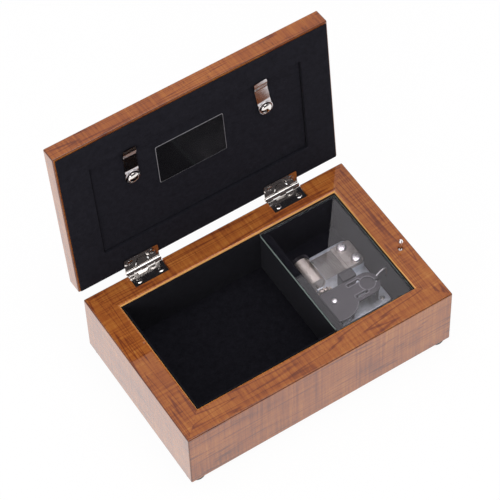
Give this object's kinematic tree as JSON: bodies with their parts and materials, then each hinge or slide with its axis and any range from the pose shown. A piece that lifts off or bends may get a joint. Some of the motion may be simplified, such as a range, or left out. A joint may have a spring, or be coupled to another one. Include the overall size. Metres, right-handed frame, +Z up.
{
  "type": "musical jewelry box",
  "caption": "Wooden jewelry box with a hinged picture lid, a lined compartment and a key-wound cylinder movement under a glass cover, started by a lid-operated pin.",
  "frame": {"origin": "on the ground under the middle of the object's bounding box, lid open; the box body's own middle lies 13.2 mm in front of it", "axes": "+X to the right along the box's long side, +Y from the front wall to the hinged back wall, +Z up"},
  "size_m": [0.18, 0.1413, 0.1631],
  "materials": {
    "wood": "reddish-brown wood under clear gloss lacquer",
    "board": "plain hardboard",
    "velvet": "short-pile black velvet over card",
    "glass": "clear, ground edges",
    "nickel": "bright nickel plate on steel",
    "steel": "ground steel",
    "zinc": "die-cast zinc alloy, tumbled",
    "brass": "nickel-washed brass, satin",
    "black_plastic": "moulded, satin black",
    "gloss_card": "black coated card, bare",
    "picture": "plain printed card",
    "rubber": "soft black"
  },
  "bodies": {
    "base": {"carcass": "wood", "bottom_board": "board", "jewelry_lining": "velvet", "divider": "velvet", "movement_lining": "velvet", "glass_cover": "glass", "foot_front_left": "rubber", "foot_front_right": "rubber", "foot_back_left": "rubber", "foot_back_right": "rubber", "movement_screw_back": "steel", "movement_screw_left": "steel", "movement_screw_front": "steel", "hinge_left_base_leaf": "nickel", "hinge_left_pin": "nickel", "hinge_right_base_leaf": "nickel", "hinge_right_pin": "nickel", "hinge_screw_left_base_outer": "nickel", "hinge_screw_left_base_inner": "nickel", "hinge_screw_right_base_outer": "nickel", "hinge_screw_right_base_inner": "nickel", "pin_spring": "steel", "bedplate": "zinc", "comb": "steel", "comb_screw_back": "nickel", "comb_screw_front": "nickel", "back_bearing": "nickel", "spring_housing": "zinc", "mainspring": "steel", "movement_cover": "black_plastic", "cover_rivet": "nickel", "governor_block": "black_plastic"},
    "lid": {"lid_frame": "wood", "lid_lining": "velvet", "lid_window": "glass", "picture_card": "picture", "backing_panel": "velvet", "label_card": "gloss_card", "clip_screw_left": "nickel", "clip_screw_right": "nickel", "hinge_left_lid_leaf": "nickel", "hinge_right_lid_leaf": "nickel", "hinge_screw_left_lid_outer": "nickel", "hinge_screw_left_lid_inner": "nickel", "hinge_screw_right_lid_outer": "nickel", "hinge_screw_right_lid_inner": "nickel"},
    "left_clip": {"clip_left": "nickel"},
    "right_clip": {"clip_right": "nickel"},
    "stop": {"stop_pin": "nickel", "stop_wire": "steel"},
    "winding": {"winding_arbor": "steel", "drive_wheel": "zinc", "winding_key": "nickel"},
    "cylinder": {"cylinder": "brass", "cylinder_arbor": "steel", "cylinder_gear": "black_plastic", "cylinder_pinion": "brass"},
    "governor_arbor": {"governor_gear": "brass"},
    "fan": {"governor_fan": "black_plastic"}
  },
  "joints": [
    {"name": "lid_hinge", "type": "hinge", "parent": "base", "child": "lid", "pos_m": [0, 0.0463, 0.0475], "axis": [1, 0, 0], "range_deg": [0, 95.5]},
    {"name": "clip_left_swing", "type": "hinge", "parent": "lid", "child": "left_clip", "pos_m": [-0.0445, 0.0564, 0.12112], "axis": [0, -0.9954, 0.0958], "range_deg": [-25, 100]},
    {"name": "clip_right_swing", "type": "hinge", "parent": "lid", "child": "right_clip", "pos_m": [0.0445, 0.0564, 0.12112], "axis": [0, 0.9954, -0.0958], "range_deg": [-25, 100]},
    {"name": "stop_slide", "type": "slide", "parent": "base", "child": "stop", "axis": [0, 0, -1], "range_m": [0, 0.00775], "stiffness_N_per_m": 40, "springref_m": -0.005, "deforming": ["pin_spring"]},
    {"name": "winding", "type": "hinge", "parent": "base", "child": "winding", "pos_m": [0.0376, -0.0262, 0.0172], "axis": [0, 0, 1], "continuous": true},
    {"name": "cylinder_spin", "type": "hinge", "parent": "base", "child": "cylinder", "pos_m": [0.0366, -0.0096, 0.02457], "axis": [0, 1, 0], "continuous": true},
    {"name": "governor_arbor_spin", "type": "hinge", "parent": "base", "child": "governor_arbor", "pos_m": [0.0604, -0.02289, 0.02218], "axis": [0.9896, 0.1438, 0], "continuous": true},
    {"name": "fan_spin", "type": "hinge", "parent": "base", "child": "fan", "pos_m": [0.0609, -0.0263, 0.0222], "axis": [0, 0, 1], "continuous": true}
  ],
  "couplings": [
    {"joint": "stop_slide", "follows": "lid_hinge", "m_per_rad": 0.0046496},
    {"joint": "cylinder_spin", "follows": "winding", "ratio": 1.7143},
    {"joint": "governor_arbor_spin", "follows": "winding", "ratio": 3},
    {"joint": "fan_spin", "follows": "winding", "ratio": 60}
  ]
}
